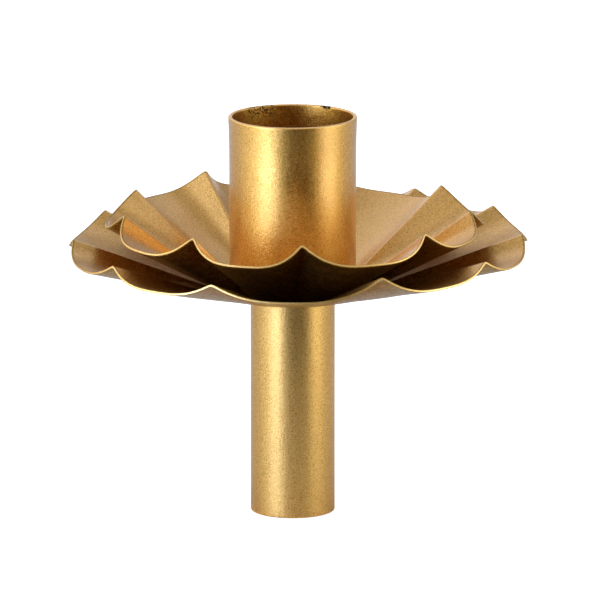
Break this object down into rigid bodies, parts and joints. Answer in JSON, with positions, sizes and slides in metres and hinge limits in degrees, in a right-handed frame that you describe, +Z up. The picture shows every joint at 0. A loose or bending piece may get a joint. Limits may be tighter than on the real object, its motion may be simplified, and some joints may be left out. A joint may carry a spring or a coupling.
{
  "type": "bottle candle holder",
  "caption": "Candle holder for a bottle neck: a straight candle cup on two nested crimped drip pans, with a plain round stem that slips into the neck.",
  "frame": {"origin": "on the axis, on the flat underside of the lower pan, which rests on the bottle's mouth", "axes": "+Z up along the axis towards the candle, -Z down the stem into the bottle's neck, -Y to the front as pictured, +X to the right"},
  "size_m": [0.0871, 0.0872, 0.0763],
  "materials": {
    "gold_lacquer": "satin metallic lacquer with a fine flake",
    "inner_lacquer": "thin, uneven metallic lacquer",
    "zinc_plate": "bright zinc plate"
  },
  "bodies": {
    "root": {"candle_cup": "gold_lacquer", "cup_floor": "inner_lacquer", "upper_pan": "gold_lacquer", "lower_pan": "gold_lacquer", "stem_tube": "gold_lacquer", "stem_top_disc": "inner_lacquer", "centre_screw": "zinc_plate", "washer": "zinc_plate", "hex_nut": "zinc_plate"}
  },
  "joints": []
}
